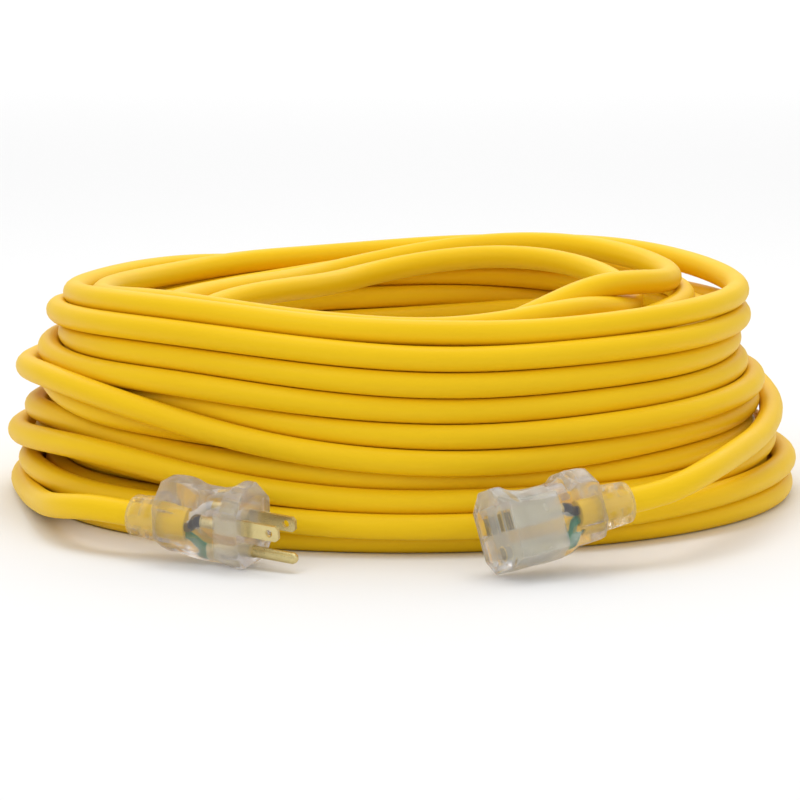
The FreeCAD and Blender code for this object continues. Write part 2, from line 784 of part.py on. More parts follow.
def check_document():
    """Stop if any object failed or any sub-part has no valid solid."""
    doc.recompute()
    for item in doc.Objects:
        if "Invalid" in item.State or "Error" in item.State:
            raise RuntimeError(item.Label + " failed")
    for node, item in SUBPARTS.items():
        if item.Shape.isNull() or not item.Shape.isValid() or not item.Shape.Solids:
            raise RuntimeError(node + " has no valid solid")


def report_box():
    """Print the whole part's box."""
    box = FreeCAD.BoundBox()
    for item in SUBPARTS.values():
        box.add(item.Shape.BoundBox)
    print("box", [round(v, 2) for v in (box.XMin, box.YMin, box.ZMin, box.XMax, box.YMax, box.ZMax)],
          "middle", round(box.Center.x, 2), round(box.Center.y, 2))


build_plug()
build_connector()
cord_coil()
cord_lead("plug", PLUG_ROUTE)
cord_lead("connector", CONNECTOR_ROUTE)
check_document()
report_box()
os.makedirs("parts", exist_ok=True)
for node, item in SUBPARTS.items():
    item.Shape.exportStep("parts/" + node + ".step")
print(len(SUBPARTS), "sub-parts written")
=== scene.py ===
import json
import math

import bmesh
import bpy
import numpy as np
from mathutils import Matrix, Vector


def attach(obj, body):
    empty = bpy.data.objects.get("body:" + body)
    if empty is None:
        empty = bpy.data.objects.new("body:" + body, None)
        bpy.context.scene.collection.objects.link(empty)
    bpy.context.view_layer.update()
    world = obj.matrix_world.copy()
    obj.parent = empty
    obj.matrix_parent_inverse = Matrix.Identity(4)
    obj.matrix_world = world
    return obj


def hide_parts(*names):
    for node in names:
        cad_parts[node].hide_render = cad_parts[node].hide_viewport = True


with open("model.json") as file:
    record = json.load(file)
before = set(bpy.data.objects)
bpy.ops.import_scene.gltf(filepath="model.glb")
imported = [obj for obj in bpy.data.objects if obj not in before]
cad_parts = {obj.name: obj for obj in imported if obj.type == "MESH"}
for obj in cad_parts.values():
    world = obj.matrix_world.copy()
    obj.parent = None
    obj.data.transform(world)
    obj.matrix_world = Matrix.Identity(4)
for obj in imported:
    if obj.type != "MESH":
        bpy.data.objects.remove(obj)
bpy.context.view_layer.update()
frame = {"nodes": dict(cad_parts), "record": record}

bl_info = {
    "name": "Coiled extension cord",
    "version": (1, 0, 0),
    "blender": (4, 5, 0),
    "location": "View3D > Sidebar > Extension Cord",
    "description": "A coiled outdoor extension cord with a clear plug and a clear connector",
    "category": "Add Mesh",
}

BODY = "root"
QUARTER = math.pi / 2
FULL_TURN = 2 * math.pi
UP = Vector((0, 0, 1))
MM_PER_M = 1000


# ---------------------------------------------------------------------------
# Where the two moulded ends lie
# ---------------------------------------------------------------------------
# From the blades' middle down to the ground pin, in metres, and how far each end is rolled.
GROUND_DROP = 0.0119
END_ROLL = {"plug": math.radians(9.5), "connector": math.radians(18.0)}
GROUND_MOUNT = {"plug": "plug_ground_pin", "connector": "connector_ground_hole"}


def end_matrix(end):
    """Frame of one end: +X out of its face, +Z away from the ground side.

    The origin is the face's point midway between the blades, one ground drop along +Z
    from the ground mount. The axis is that mount's own axis and the roll is a named value."""
    mounts = {m["name"]: m for m in frame["record"]["mounts"]}
    mount = mounts[GROUND_MOUNT[end]]
    ahead = Vector(mount["axis"]).normalized()
    sideways = UP.cross(ahead).normalized()
    upright = ahead.cross(sideways)
    turn = Matrix((ahead, sideways, upright)).transposed()
    turn = turn @ Matrix.Rotation(END_ROLL[end], 3, "X")
    half_length = mount["dims"]["length_mm"] / (2 * MM_PER_M)
    along = half_length if end == "connector" else -half_length
    origin = Vector(mount["pos_m"]) + turn @ Vector((along, 0, GROUND_DROP))
    return Matrix.LocRotScale(origin, turn, None)


ENDS = {end: end_matrix(end) for end in ("plug", "connector")}


# ---------------------------------------------------------------------------
# Sizes and colours
# ---------------------------------------------------------------------------
class CordSizes(bpy.types.PropertyGroup):
    """The yellow cord and how it is wound."""

    diameter: bpy.props.FloatProperty(
        name="Diameter", description="Outside of the jacket", default=0.0107,
        unit="LENGTH", subtype="DISTANCE")
    length: bpy.props.FloatProperty(
        name="Length", description="Whole cord, from plug to connector", default=30.48,
        unit="LENGTH", subtype="DISTANCE")
    centre_y: bpy.props.FloatProperty(
        name="Coil centre", description="How far behind the origin the coil's centre lies",
        default=0.028, unit="LENGTH", subtype="DISTANCE")
    level_rise: bpy.props.FloatProperty(
        name="Level rise", description="From one level of turns to the next", default=0.0099,
        unit="LENGTH", subtype="DISTANCE")
    column_step: bpy.props.FloatProperty(
        name="Column step", description="From one turn to the next inside it", default=0.0113,
        unit="LENGTH", subtype="DISTANCE")
    point_spacing: bpy.props.FloatProperty(
        name="Point spacing", description="Between points along the wound cord", default=0.014,
        unit="LENGTH", subtype="DISTANCE")
    passes: bpy.props.IntProperty(
        name="Settling passes", description="Steps that push turns apart and lay them down",
        default=260)


class CordColours(bpy.types.PropertyGroup):
    """Colours of the jacket and of the clear mouldings."""

    jacket: bpy.props.FloatVectorProperty(
        name="Jacket", description="Yellow of the jacket", subtype="COLOR", size=4,
        default=(0.90, 0.585, 0.008, 1))
    jacket_deep: bpy.props.FloatVectorProperty(
        name="Jacket, deeper", description="Where the yellow is a little deeper",
        subtype="COLOR", size=4, default=(0.86, 0.53, 0.007, 1))
    clear: bpy.props.FloatVectorProperty(
        name="Clear vinyl", description="Tint of the clear mouldings", subtype="COLOR", size=4,
        default=(0.94, 0.925, 0.95, 1))
    clear_haze: bpy.props.FloatVectorProperty(
        name="Clear vinyl, hazier", description="Tint where the vinyl is a little cloudy",
        subtype="COLOR", size=4, default=(0.89, 0.875, 0.905, 1))


class StageLook(bpy.types.PropertyGroup):
    """Floor, light and camera."""

    elevation: bpy.props.FloatProperty(
        name="Camera elevation", description="Above the horizon", default=math.radians(8.5),
        unit="ROTATION", subtype="ANGLE")
    distance: bpy.props.FloatProperty(
        name="Camera distance", description="From the point it looks at", default=1.8,
        unit="LENGTH", subtype="DISTANCE")
    look_at: bpy.props.FloatVectorProperty(
        name="Look at", description="The point in the middle of the view", size=3,
        default=(0, 0.013, 0.042), unit="LENGTH", subtype="XYZ")
    lens: bpy.props.FloatProperty(
        name="Lens", description="Focal length in millimetres", default=180.0, unit="CAMERA")


# ---------------------------------------------------------------------------
# Small helpers
# ---------------------------------------------------------------------------
def finished(obj, node_names, material):
    """Gives a new piece its material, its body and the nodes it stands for."""
    obj.data.materials.clear()
    obj.data.materials.append(material)
    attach(obj, BODY)
    if node_names:
        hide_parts(*node_names)


# ---------------------------------------------------------------------------
# The wound cord
# ---------------------------------------------------------------------------
# In each end's own frame: where the jacket stops inside the moulding, and the point behind
# its mouth up to which the cord runs straight.
PLUG_JACKET_END = (-0.030, 0, -0.0055)
PLUG_MOUTH = (-0.062, 0, -0.0055)
CONNECTOR_JACKET_END = (-0.038, 0, -0.0035)
CONNECTOR_MOUTH = (-0.064, 0, -0.0035)
# Free stretches beside each end, from the mouth of the moulding to where the coil begins.
PLUG_ROUTE = [(-0.1123, -0.1382, 0.0172), (-0.1285, -0.1284, 0.0183), (-0.1414, -0.1122, 0.0156),
              (-0.1496, -0.0895, 0.0122), (-0.1560, -0.0603, 0.0091), (-0.1630, -0.0280, 0.0069),
              (-0.1686, 0.0040, 0.0058)]
CONNECTOR_ROUTE = [(0.0934, -0.1620, 0.0265), (0.1101, -0.1531, 0.0289), (0.1232, -0.1386, 0.0328),
                   (0.1346, -0.1158, 0.0350), (0.1453, -0.0875, 0.0361), (0.1552, -0.0570, 0.0366),
                   (0.1620, -0.0257, 0.0378)]

# The outermost turn of each level, from the floor up: radius and height, in millimetres, at
# the right, the front, the front left and the left of the coil.
OUTER_TURNS = [
    ((172, 5.4), (165, 5.4), (165, 5.4), (162, 5.4)),
    ((174, 18.0), (166, 15.0), (169, 19.0), (168, 16.8)),
    ((162, 27.0), (164, 26.0), (171, 40.0), (172, 33.0)),
    ((158, 36.0), (162, 35.0), (160, 50.0), (165, 43.0)),
    ((157, 47.6), (164, 43.0), (169, 60.0), (166, 62.0)),
    ((157, 56.0), (162, 52.0), (157, 60.0), (154, 55.0)),
    ((150, 60.0), (161, 62.0), (162, 71.0), (157, 69.0)),
    ((149, 67.0), (161, 73.0), (160, 81.0), (147, 76.0)),
    ((152, 81.5), (160, 84.0), (160, 91.5), (152, 82.0)),
    ((152, 97.0), (153, 92.5), (154, 101.0), (146, 95.0)),
]
# Turns laid across the opening under the topmost one, at the same four places.
CROSSING_TURNS = [
    ((128, 91.0), (131, 88.0), (134, 91.0), (70, 97.0)),
    ((122, 101.0), (120, 86.0), (128, 90.0), (48, 97.0)),
    ((100, 97.0), (142, 90.0), (143, 95.0), (134, 91.0)),
]
# The angle from the place before to each of the four, the first one from the back.
PLACES = (QUARTER, QUARTER, 0.5 * QUARTER, 0.5 * QUARTER)
CROSSING_LEVEL = 9
FIRST_RADIUS = 174.0
# How much of the outermost turn's height each column takes. The rest is its own flat level.
FOLLOW = (1.0, 0.8, 0.5)
# Inner turns differ in size by up to this many millimetres, by a sine of their number.
WANDER = 2.5
WANDER_STEP = 2.4
WANDER_START = 1
# The top of the coil is lower at the back left and higher at the back right by this many
# millimetres, and turns below it by less, as the cube of their share of the tilted height.
REAR_TILT = 9.0
TILTED_HEIGHT = 95
# Points of the planned line for each place, before it is divided evenly.
FINE_POINTS = 40
# Radius and height at the last quarters, where the cord slides down outside the coil to the
# connector, and how much of a quarter turn each takes.
LAST_QUARTERS = [(162, 88, 1.0), (169, 62, 0.5), (170, 42, 0.5)]


def turn_plan(sizes):
    """Radius and height of every turn at its four places, in the order they are wound.

    Levels are wound from the floor up. On each level the turns run from the outside in and
    on the next from the inside out, so that the cord never jumps across the coil. A turn in
    column c is c column steps smaller than the outermost one, give or take its wander, and
    its height lies between the outermost turn's and that of a flat level."""
    turns = []
    for level, outer in enumerate(OUTER_TURNS):
        columns = [0, 1, 2] if level % 2 == 0 else [2, 1, 0]
        if level == CROSSING_LEVEL:
            turns += [list(turn) for turn in CROSSING_TURNS]
            columns = [0]
        flat = MM_PER_M * (sizes.diameter / 2 + level * sizes.level_rise)
        for column in columns:
            wander = WANDER * math.sin(WANDER_STEP * len(turns) + WANDER_START) if column else 0
            follow = FOLLOW[column]
            inset = MM_PER_M * column * sizes.column_step - wander
            turns.append([(radius - inset, height * follow + flat * (1 - follow))
                          for radius, height in outer])
    return turns


def wound_line(sizes):
    """Centre line of the coil before it settles, as evenly spaced points.

    The cord runs clockwise seen from above. A point at angle a from the front, at radius r,
    is (-r sin a, centre - r cos a), and r and the height pass smoothly through the values
    planned for each place. At the back they are halfway between the places on both sides."""
    turns = turn_plan(sizes)
    angles, radii, heights = [QUARTER], [FIRST_RADIUS], [MM_PER_M * sizes.diameter / 2]
    for turn in turns:
        back = (0.5 * (radii[-1] + turn[0][0]), 0.5 * (heights[-1] + turn[0][1]))
        for step, (radius, height) in zip((QUARTER, *PLACES), (back, *turn)):
            angles.append(angles[-1] + step)
            radii.append(radius)
            heights.append(height)
    for radius, height, share in LAST_QUARTERS:
        angles.append(angles[-1] + QUARTER * share)
        radii.append(radius)
        heights.append(height)
    fine = np.linspace(angles[0], angles[-1], FINE_POINTS * len(angles))
    radius = smooth_through(angles, radii, fine)
    height = smooth_through(angles, heights, fine)
    behind = np.clip(-np.cos(fine), 0, 1)
    raised = np.clip(height / TILTED_HEIGHT, 0, 1)
    height -= REAR_TILT * behind * np.sin(2 * fine - math.pi) * raised ** 3
    line = np.stack([-radius * np.sin(fine), -radius * np.cos(fine), height], 1) / MM_PER_M
    line[:, 1] += sizes.centre_y
    return evenly(line, sizes.point_spacing)


def smooth_through(at, values, where):
    """A smooth curve through (at, values), read at where: the cubic through each pair of
    neighbours whose slopes are those of the chords on both sides (Catmull-Rom)."""
    at, values = np.array(at, float), np.array(values, float)
    slope = np.gradient(values, at)
    i = np.clip(np.searchsorted(at, where, side="right") - 1, 0, len(at) - 2)
    span = at[i + 1] - at[i]
    t = (where - at[i]) / span
    return ((2 * t**3 - 3 * t**2 + 1) * values[i] + (t**3 - 2 * t**2 + t) * span * slope[i]
            + (3 * t**2 - 2 * t**3) * values[i + 1] + (t**3 - t**2) * span * slope[i + 1])


def evenly(line, step):
    """The same line with points about step apart."""
    along = np.concatenate([[0], np.cumsum(np.linalg.norm(np.diff(line, axis=0), axis=1))])
    at = np.linspace(0, along[-1], int(round(along[-1] / step)) + 1)
    return np.stack([np.interp(at, along, line[:, k]) for k in range(3)], 1)


# How the cord settles. Near pairs are looked for every so many passes, within so many
# diameters of each other and more than so many points apart along the cord. Each pass takes
# a share of the way back to the plan (x, y, z), a drop in metres, and shares of the move that
# evens the bend and of the move that parts two turns.
SEARCH_EVERY = 12
SEARCH_REACH = 3.2
ALONG_APART = 4
PLAN_PULL = np.array([0.03, 0.03, 0.008])
DROP = 0.00006
BEND_EASE = 0.9
PART_PUSH = 1.3
# The passes aim to bring turns this many diameters apart.
TURN_SPACING = 1.01
# Points compared at a time, which only limits the memory used.
BLOCK = 400


def near_pairs(points, reach, apart):
    """Numbers of every point and segment that lie within reach of each other."""
    middles = 0.5 * (points[1:] + points[:-1])
    found = []
    for first in range(0, len(points), BLOCK):
        block = points[first:first + BLOCK]
        gap = ((block[:, None] - middles[None]) ** 2).sum(2)
        i, j = np.nonzero(gap < reach * reach)
        i += first
        found.append(np.stack([i, j])[:, np.abs(i - j) > apart])
    return np.concatenate(found, 1)


def settle(points, fixed, diameter, passes):
    """Lays the wound cord down and pushes its turns out of each other.

    Each pass pulls every point a little to where it was planned and down by its weight,
    evens the bend, pushes a point and a segment that are closer than one diameter apart
    along the line between them, and keeps the cord above the floor."""
    planned = points.copy()
    free = ~fixed
    radius = diameter / 2
    for step in range(passes):
        if step % SEARCH_EVERY == 0:
            i, j = near_pairs(points, SEARCH_REACH * diameter, ALONG_APART)
        weight = 1.0 - step / passes
        points[free] += (planned[free] - points[free]) * PLAN_PULL * weight
        points[free, 2] -= DROP * weight
        bend = np.zeros_like(points)
        bend[2:-2] = (-points[:-4] + 4 * points[1:-3] - 6 * points[2:-2] + 4 * points[3:-1]
                      - points[4:]) / 16
        points[free] += bend[free] * BEND_EASE
        a, b = points[j], points[j + 1]
        along = b - a
        t = np.clip(((points[i] - a) * along).sum(1) / (along * along).sum(1), 0, 1)
        apart = points[i] - a - t[:, None] * along
        gap = np.linalg.norm(apart, axis=1)
        touching = gap < diameter
        push = apart[touching] / np.maximum(gap[touching], 1e-6)[:, None]
        push *= (0.5 * (diameter - gap[touching]))[:, None]
        move, count = np.zeros_like(points), np.zeros(len(points))
        for number, share in ((i[touching], 1.0), (j[touching], -(1 - t[touching])),
                              (j[touching] + 1, -t[touching])):
            share = np.broadcast_to(share, push.shape[:1])
            for axis in range(3):
                move[:, axis] += np.bincount(number, push[:, axis] * share, len(points))
            count += np.bincount(number, np.abs(share), len(points))
        points[free] += (move / np.maximum(count, 1)[:, None] * PART_PUSH)[free]
        points[free, 2] = np.maximum(points[free, 2], radius)
    return points


class EXTCORD_OT_cord(bpy.types.Operator):
    """Wind the cord from the plug to the connector"""

    bl_idname = "extcord.cord"
    bl_label = "Cord"

    def execute(self, context):
        sizes = context.scene.extcord_sizes
        start = ENDS["plug"] @ Vector(PLUG_JACKET_END)
        stop = ENDS["connector"] @ Vector(CONNECTOR_JACKET_END)
        head = np.array([start, ENDS["plug"] @ Vector(PLUG_MOUTH)] + PLUG_ROUTE)
        tail = np.array(CONNECTOR_ROUTE[::-1] + [ENDS["connector"] @ Vector(CONNECTOR_MOUTH), stop])
        coil = wound_line(sizes)
        fixed_head = evenly(head, sizes.point_spacing)
        fixed_tail = evenly(tail, sizes.point_spacing)
        points = np.concatenate([fixed_head, coil, fixed_tail])
        fixed = np.zeros(len(points), bool)
        fixed[:len(fixed_head)] = True
        fixed[-len(fixed_tail):] = True
        passes = sizes.passes
        points = settle(points, fixed, sizes.diameter * TURN_SPACING, passes)
        wound = points[len(fixed_head):-len(fixed_tail)]
        line = np.concatenate([head, wound, tail])
        curve = bpy.data.curves.new("cord", "CURVE")
        curve.dimensions = "3D"
        spline = curve.splines.new("NURBS")
        spline.points.add(len(line) - 1)
        spline.points.foreach_set("co", np.column_stack([line, np.ones(len(line))]).ravel())
        spline.order_u = 3
        spline.use_endpoint_u = True
        spline.resolution_u = 2
        curve.resolution_u = 2
        curve.render_resolution_u = 2
        curve.bevel_depth = sizes.diameter / 2
        curve.bevel_resolution = 7
        curve.use_fill_caps = True
        cord = bpy.data.objects.new("cord", curve)
        context.collection.objects.link(cord)
        finished(cord, ["cord_coil", "plug_lead", "connector_lead", "plug_jacket_end",
                        "connector_jacket_end"], yellow_jacket(context))
        return {"FINISHED"}


# ---------------------------------------------------------------------------
# Clear mouldings
# ---------------------------------------------------------------------------
# How the outline of each moulding changes from its front face to its rear, in millimetres:
# pairs of (distance from the face, value). flat is half the width of the flat top, shoulder
# how far below it the slopes beside it end, and chamfer the cut of both lower corners.
PLUG_SHAPE = {
    "top": [(0, 16.3), (3, 16.5), (6, 16.2), (8.5, 14.6), (13, 12.9), (19, 12.4), (25, 12.7),
            (29, 13.9), (31.5, 14.1), (37, 14.0), (42, 13.2)],
    "bottom": [(0, 17.3), (6, 17.5), (18, 17.4), (26, 17.2), (29, 16.4), (31, 15.3), (37, 15.1),
               (42, 14.2)],
    "half_width": [(0, 13.2), (4, 13.5), (7, 13.3), (9.5, 12.5), (19, 12.3), (28, 12.5),
                   (30.5, 13.3), (37, 13.4), (42, 12.6)],
    "flat": 4.5, "shoulder": 9.0, "chamfer": 5.5, "length": 42.0,
}
CONNECTOR_SHAPE = {
    "top": [(0, 14.3), (3, 14.5), (5.5, 14.3), (8, 13.0), (13, 11.8), (21, 11.3), (29, 11.8),
            (31.5, 12.4), (34, 14.2), (38, 14.5), (43, 14.2), (46, 13.2)],
    "bottom": [(0, 19.3), (5, 19.5), (16, 19.4), (26, 19.2), (29, 18.4), (32, 16.7), (35, 16.2),
               (42, 16.0), (46, 15.2)],
    "half_width": [(0, 13.7), (4, 14.0), (6.5, 13.8), (9, 13.0), (21, 12.7), (31, 12.9),
                   (34.5, 13.8), (42, 13.9), (46, 13.2)],
    "flat": 5.0, "shoulder": 7.0, "chamfer": 6.0, "length": 46.0,
}
# Radius of the long corners, from the front to the rear: crisp at the flanges, softer between.
CORNER_ROUND = [(0, 1.2), (5, 1.4), (9, 4.5), (20, 5.5), (27, 4.5), (32, 1.8), (46, 1.4)]
RIM_ROUND = 1.1
# Points round each rim and each corner, rings along the moulding, and points along each flat
# stretch of a ring, its two ends included.
ROUND_POINTS = 7
RING_COUNT = 90
FLAT_POINTS = 8
# Strain relief, in millimetres: its length, its radius at the root, at the tip and inside,
# how far it reaches into the moulding, and the depth and number of its rows of grooves.
NECK_LENGTH = 16
NECK_ROOT = 9.8
NECK_TIP = 8.6
NECK_INSIDE = 5.2
NECK_OVERLAP = 0.4
GROOVE_DEPTH = 3.0
GROOVE_ROWS = 2
NECK_AROUND = 96
NECK_RINGS = 72
# How far the cord's axis lies below the blades' middle, in millimetres.
CORD_DROP = {"plug": 5.5, "connector": 3.5}
# The connector's slots, in metres, and its ground hole, in millimetres. The cutters start in
# front of the face.
SLOT_SIDE = 0.00635
SLOT_HALF_WIDTH = 0.001
SLOT_HALF_HEIGHT = 0.0036
SLOT_DEPTH = 0.021
CUTTER_AHEAD = 0.002
GROUND_HOLE = [(2, 0.01), (2, 2.6), (-21, 2.6), (-21, 0.01)]
HOLE_AROUND = 40


def grid_mesh(name, points, closed_along=False):
    """A mesh over a grid of points, rings by places round each ring, closed round each ring.

    It is closed along too where the last ring meets the first, and otherwise each end gets
    a cap of triangles round the middle of its ring."""
    rings, around = points.shape[:2]
    number = np.arange(rings * around).reshape(rings, around)
    here = number if closed_along else number[:-1]
    beyond = np.roll(number, -1, 0) if closed_along else number[1:]
    quads = np.stack([here, np.roll(here, -1, 1), np.roll(beyond, -1, 1), beyond], -1)
    faces = quads.reshape(-1, 4).tolist()
    corners = points.reshape(-1, 3)
    if not closed_along:
        middles = np.stack([points[0].mean(0), points[-1].mean(0)])
        corners = np.concatenate([corners, middles])
        first, last = number[0], number[-1]
        faces += np.stack([np.roll(first, -1), first, np.full(around, rings * around)], -1).tolist()
        faces += np.stack([last, np.roll(last, -1), np.full(around, rings * around + 1)], -1).tolist()
    mesh = bpy.data.meshes.new(name)
    mesh.from_pydata(corners.tolist(), [], faces)
    mesh.update()
    smooth_faces(mesh)
    return mesh


def smooth_faces(mesh):
    """Shades every face of a mesh smoothly."""
    mesh.polygons.foreach_set("use_smooth", np.ones(len(mesh.polygons), bool))


def outline_grid(shape):
    """Points of a moulding's surface, rings by places round each ring, in its own frame.

    Each ring is an eight-cornered outline, moved inwards by the corner radius and given
    back that radius as an arc round each corner, so its corners are round. Near both ends
    the outline shrinks by r - sqrt(r^2 - (r - d)^2), with d the distance from the end,
    which rounds the rim with radius r."""
    length = shape["length"]
    near_rim = RIM_ROUND * (1 - np.cos(np.linspace(0, QUARTER, ROUND_POINTS)))
    middle = np.linspace(RIM_ROUND, length - RIM_ROUND, RING_COUNT)[1:-1]
    place = np.concatenate([near_rim, middle, length - near_rim[::-1]])
    corner_radius = smooth_through(*zip(*CORNER_ROUND), place)[:, None]
    top, bottom, half = (smooth_through(*zip(*shape[key]), place)
                         for key in ("top", "bottom", "half_width"))
    from_end = np.minimum(np.minimum(place, length - place), RIM_ROUND)
    shrink = RIM_ROUND - np.sqrt(np.maximum(RIM_ROUND**2 - (RIM_ROUND - from_end) ** 2, 0))
    flat, shoulder, chamfer = shape["flat"], shape["shoulder"], shape["chamfer"]
    across = np.stack([half, half, half * 0 + flat, half * 0 - flat, -half, -half,
                       chamfer - half, half - chamfer], 1)
    up = np.stack([chamfer - bottom, top - shoulder, top, top, top - shoulder, chamfer - bottom,
                   -bottom, -bottom], 1)
    corner = np.stack([across, up], -1)
    edge = np.roll(corner, -1, 1) - corner
    edge /= np.linalg.norm(edge, axis=2, keepdims=True)
    normal = np.stack([edge[..., 1], -edge[..., 0]], -1)
    offset = (normal * corner).sum(2) - corner_radius - shrink[:, None]
    before, offset_before = np.roll(normal, 1, 1), np.roll(offset, 1, 1)
    cross = before[..., 0] * normal[..., 1] - before[..., 1] * normal[..., 0]
    inner = np.stack([(offset_before * normal[..., 1] - offset * before[..., 1]) / cross,
                      (offset * before[..., 0] - offset_before * normal[..., 0]) / cross], -1)
    share = np.linspace(0, 1, ROUND_POINTS)[None, None, :, None]
    fan = before[:, :, None] * (1 - share) + normal[:, :, None] * share
    fan *= corner_radius[..., None, None] / np.linalg.norm(fan, axis=3, keepdims=True)
    arcs = inner[:, :, None] + fan
    run = np.linspace(0, 1, FLAT_POINTS)[1:-1][None, None, :, None]
    straight = arcs[:, :, -1:] * (1 - run) + np.roll(arcs[:, :, :1], -1, 1) * run
    ring = np.concatenate([arcs, straight], 2).reshape(len(place), -1, 2)
    along = np.broadcast_to(-place[:, None, None], (*ring.shape[:2], 1))
    return np.concatenate([along, ring], 2) / MM_PER_M


def place_mesh(mesh, end):
    """Moves a mesh from an end's own frame to the part's frame."""
    mesh.transform(ENDS[end])
    mesh.update()


def new_piece(name, mesh):
    """An object for a finished mesh, at the origin."""
    piece = bpy.data.objects.new(name, mesh)
    bpy.context.collection.objects.link(piece)
    return piece


def outward(mesh):
    """Merges doubles and turns every face outwards."""
    work = bmesh.new()
    work.from_mesh(mesh)
    bmesh.ops.remove_doubles(work, verts=work.verts, dist=1e-7)
    bmesh.ops.recalc_face_normals(work, faces=work.faces)
    work.to_mesh(mesh)
    work.free()
    smooth_faces(mesh)


def box_mesh(name, low, high):
    """A closed box between two corners."""
    low, high = np.array(low), np.array(high)
    pick = np.array([[x, y, z] for x in (0, 1) for y in (0, 1) for z in (0, 1)])
    faces = [(0, 1, 3, 2), (4, 6, 7, 5), (0, 4, 5, 1), (2, 3, 7, 6), (0, 2, 6, 4), (1, 5, 7, 3)]
    mesh = bpy.data.meshes.new(name)
    mesh.from_pydata((low + pick * (high - low)).tolist(), [], faces)
    return mesh


def tube_mesh(name, profile, around, swell=None):
    """A closed surface turned about the X axis: the profile's (x, radius) points, in
    millimetres, are carried round it. swell(x, angle) is added to each radius."""
    x, radius = np.array(profile, float).T
    angle = np.linspace(0, FULL_TURN, around, endpoint=False)
    grid_x = np.repeat(x[:, None], around, 1)
    grid_radius = radius[:, None] + (swell(grid_x, angle[None]) if swell else 0)
    points = np.stack([grid_x, grid_radius * np.cos(angle), grid_radius * np.sin(angle)], -1)
    return grid_mesh(name, points / MM_PER_M, closed_along=True)


def carve(mesh, cutters):
    """Cuts closed meshes out of a mesh, exactly, and returns the new mesh."""
    body = new_piece("carving", mesh)
    tools = [new_piece("tool", cutter) for cutter in cutters]
    for tool in tools:
        step = body.modifiers.new("cut", "BOOLEAN")
        step.operation = "DIFFERENCE"
        step.solver = "EXACT"
        step.object = tool
    cut_body = body.evaluated_get(bpy.context.evaluated_depsgraph_get())
    carved = bpy.data.meshes.new_from_object(cut_body)
    for item in (body, *tools):
        bpy.data.objects.remove(item)
    smooth_faces(carved)
    return carved


def neck_profile():
    """Outer and inner line of a strain relief, from inside the moulding to its mouth."""
    outside = [(NECK_OVERLAP, NECK_INSIDE), (NECK_OVERLAP, NECK_ROOT)]
    outside += [(-NECK_LENGTH * t, NECK_ROOT + (NECK_TIP - NECK_ROOT) * t)
                for t in np.linspace(0, 1, NECK_RINGS)]
    return outside + [(-NECK_LENGTH, NECK_INSIDE)]


def neck_grooves(x, angle):
    """How far a strain relief's surface sinks: rows of grooves round it, parted by four bars.

    It is the depth times a pulse along the neck, 5 sin^2(rows pi share) - 1.8, times a
    pulse round it, 2.4 - 4 |cos 2 angle|^3, each held between 0 and 1."""
    share = np.clip(-x / NECK_LENGTH, 0, 1)
    along = np.clip(5.0 * np.sin(math.pi * GROOVE_ROWS * share) ** 2 - 1.8, 0, 1)
    around = np.clip(2.4 - 4.0 * np.abs(np.cos(2 * angle)) ** 3, 0, 1)
    inside = (x < -NECK_OVERLAP) & (x > -NECK_LENGTH + NECK_OVERLAP)
    return -GROOVE_DEPTH * along * around * inside


def add_housing(context, end, mesh):
    """Finishes one end's housing from its mesh, in the end's own frame."""
    place_mesh(mesh, end)
    name = end + "_housing"
    finished(new_piece(name, mesh), [end + "_body"], clear_vinyl(context))


def add_neck(end, shape):
    """Adds the strain relief of one end, about the cord's own axis, behind its housing."""
    node = end + "_strain_relief"
    mesh = tube_mesh(node, neck_profile(), NECK_AROUND, neck_grooves)
    behind = (-shape["length"] / MM_PER_M, 0, -CORD_DROP[end] / MM_PER_M)
    mesh.transform(Matrix.Translation(behind))
    outward(mesh)
    place_mesh(mesh, end)
    finished(new_piece(node + "_ringed", mesh), [node], thin_vinyl())


class EXTCORD_OT_plug_housing(bpy.types.Operator):
    """Mould the plug's clear housing and its strain relief"""

    bl_idname = "extcord.plug_housing"
    bl_label = "Plug Housing"

    def execute(self, context):
        mesh = grid_mesh("plug_housing", outline_grid(PLUG_SHAPE))
        outward(mesh)
        add_housing(context, "plug", mesh)
        add_neck("plug", PLUG_SHAPE)
        return {"FINISHED"}


class EXTCORD_OT_connector_housing(bpy.types.Operator):
    """Mould the connector's clear housing, with its slots and ground hole, and its strain relief"""

    bl_idname = "extcord.connector_housing"
    bl_label = "Connector Housing"

    def execute(self, context):
        mesh = grid_mesh("connector_housing", outline_grid(CONNECTOR_SHAPE))
        outward(mesh)
        cutters = [box_mesh("slot", (-SLOT_DEPTH, side - SLOT_HALF_WIDTH, -SLOT_HALF_HEIGHT),
                            (CUTTER_AHEAD, side + SLOT_HALF_WIDTH, SLOT_HALF_HEIGHT))
                   for side in (SLOT_SIDE, -SLOT_SIDE)]
        hole = tube_mesh("hole", GROUND_HOLE, HOLE_AROUND)
        hole.transform(Matrix.Translation((0, 0, -GROUND_DROP)))
        cutters.append(hole)
        for cutter in cutters:
            outward(cutter)
        mesh = carve(mesh, cutters)
        outward(mesh)
        add_housing(context, "connector", mesh)
        add_neck("connector", CONNECTOR_SHAPE)
        return {"FINISHED"}


